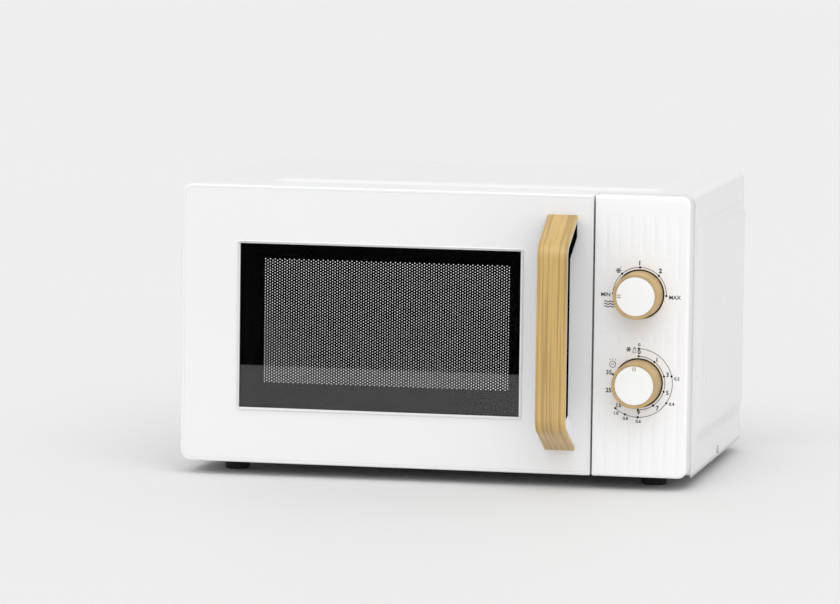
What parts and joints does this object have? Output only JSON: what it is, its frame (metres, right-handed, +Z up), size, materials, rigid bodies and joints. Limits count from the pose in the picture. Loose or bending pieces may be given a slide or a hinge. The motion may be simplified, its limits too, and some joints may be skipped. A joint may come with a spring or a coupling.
{
  "type": "microwave oven",
  "caption": "Countertop microwave oven: side-hinged door with a bar handle and a perforated window, two dials, and a turntable on a roller ring.",
  "frame": {"origin": "centre of the whole object's footprint, handle included, at the undersides of the feet", "axes": "+X to the right seen from the front, +Y from the front to the back, +Z up"},
  "size_m": [0.452, 0.367, 0.2565],
  "materials": {
    "white_cover": "gloss white enamel",
    "white_front": "gloss white moulding",
    "dial_white": "gloss white moulding",
    "white_steel": "satin white paint",
    "grey_steel": "galvanised sheet",
    "cavity_enamel": "pale grey enamel",
    "rubber": "matt black rubber",
    "zinc": "zinc plate",
    "mica": "mica sheet",
    "ferrite": "matt black",
    "copper": "lacquered copper",
    "laminate_steel": "varnished laminations",
    "can_aluminium": "drawn can",
    "inner_plastic": "natural nylon",
    "grey_plastic": "matt dark grey moulding",
    "switch_plastic": "matt red",
    "tray_glass": "clear tempered glass",
    "lamp_glass": "clear glass",
    "board_green": "laminate board",
    "bell_brass": "pressed bell",
    "black_glass": "black-bordered glass",
    "screen_steel": "matt black paint",
    "film": "clear film",
    "handle_chrome": "bright plating",
    "wood_look": "satin ash grain"
  },
  "bodies": {
    "cabinet": {"outer_cover": "white_cover", "base_plate": "grey_steel", "back_plate": "grey_steel", "front_frame": "white_steel", "oven_cavity": "cavity_enamel", "control_panel": "white_front", "feet": "rubber", "cover_screws": "zinc", "cord_bushing": "rubber", "waveguide": "zinc", "waveguide_cover": "mica", "magnetron_yoke": "zinc", "magnetron_magnets": "ferrite", "magnetron_anode": "copper", "transformer_core": "laminate_steel", "transformer_coils": "copper", "capacitor": "can_aluminium", "capacitor_clamp": "zinc", "diode": "ferrite", "fan_motor": "laminate_steel", "fan_shroud": "zinc", "air_duct": "grey_plastic", "turntable_motor": "zinc", "motor_hatch": "grey_steel", "lamp_bulb": "lamp_glass", "lamp_holder": "inner_plastic", "thermal_cutouts": "ferrite", "filter_board": "board_green", "fuse": "lamp_glass", "latch_board": "inner_plastic", "micro_switches": "switch_plastic", "timer_unit": "inner_plastic", "timer_bell": "bell_brass", "power_selector": "inner_plastic", "upper_hinge": "zinc", "lower_hinge": "zinc"},
    "door": {"door_fascia": "white_front", "door_window": "black_glass", "door_screen": "screen_steel", "door_inner_film": "film", "door_choke_cover": "grey_plastic", "hinge_bushes": "grey_plastic", "handle_core": "handle_chrome", "handle_cover": "wood_look", "handle_screws": "zinc", "latch_spring": "zinc"},
    "door_latch": {"latch_hooks": "inner_plastic"},
    "power_dial": {"power_ring": "wood_look", "power_cap": "dial_white", "power_shaft": "zinc"},
    "timer_dial": {"timer_ring": "wood_look", "timer_cap": "dial_white", "timer_shaft": "zinc"},
    "turntable": {"drive_coupler": "inner_plastic", "glass_tray": "tray_glass"},
    "roller_carrier": {"roller_ring": "inner_plastic"},
    "roller_a": {"roller_1": "inner_plastic"},
    "roller_b": {"roller_2": "inner_plastic"},
    "roller_c": {"roller_3": "inner_plastic"},
    "fan": {"fan_blade": "inner_plastic"}
  },
  "joints": [
    {"name": "door_hinge", "type": "hinge", "parent": "cabinet", "child": "door", "pos_m": [-0.2175, -0.115, 0.133], "axis": [0, 0, -1], "range_deg": [0, 100]},
    {"name": "latch_lift", "type": "slide", "parent": "door", "child": "door_latch", "axis": [0, 0, 1], "range_m": [0, 0.004], "stiffness_N_per_m": 150, "springref_m": -0.004},
    {"name": "power_turn", "type": "hinge", "parent": "cabinet", "child": "power_dial", "pos_m": [0.1787, -0.1345, 0.17], "axis": [0, 1, 0], "range_deg": [0, 180]},
    {"name": "timer_turn", "type": "hinge", "parent": "cabinet", "child": "timer_dial", "pos_m": [0.1787, -0.1345, 0.0936], "axis": [0, 1, 0], "range_deg": [0, 287]},
    {"name": "turntable_spin", "type": "hinge", "parent": "cabinet", "child": "turntable", "pos_m": [-0.044, 0.0358, 0.033], "axis": [0, 0, 1], "continuous": true},
    {"name": "carrier_spin", "type": "hinge", "parent": "cabinet", "child": "roller_carrier", "pos_m": [-0.044, 0.0358, 0.0405], "axis": [0, 0, 1], "continuous": true},
    {"name": "roller_a_spin", "type": "hinge", "parent": "roller_carrier", "child": "roller_a", "pos_m": [0.03308, 0.0803, 0.0405], "axis": [0.866, 0.5, 0], "continuous": true},
    {"name": "roller_b_spin", "type": "hinge", "parent": "roller_carrier", "child": "roller_b", "pos_m": [-0.12108, 0.0803, 0.0405], "axis": [-0.866, 0.5, 0], "continuous": true},
    {"name": "roller_c_spin", "type": "hinge", "parent": "roller_carrier", "child": "roller_c", "pos_m": [-0.044, -0.0532, 0.0405], "axis": [0, -1, 0], "continuous": true},
    {"name": "fan_spin", "type": "hinge", "parent": "cabinet", "child": "fan", "pos_m": [0.1668, 0.1495, 0.178], "axis": [0, 1, 0], "continuous": true}
  ],
  "couplings": [
    {"joint": "carrier_spin", "follows": "turntable_spin", "ratio": 0.5},
    {"joint": "roller_a_spin", "follows": "turntable_spin", "ratio": -5.9333},
    {"joint": "roller_b_spin", "follows": "turntable_spin", "ratio": -5.9333},
    {"joint": "roller_c_spin", "follows": "turntable_spin", "ratio": -5.9333}
  ]
}
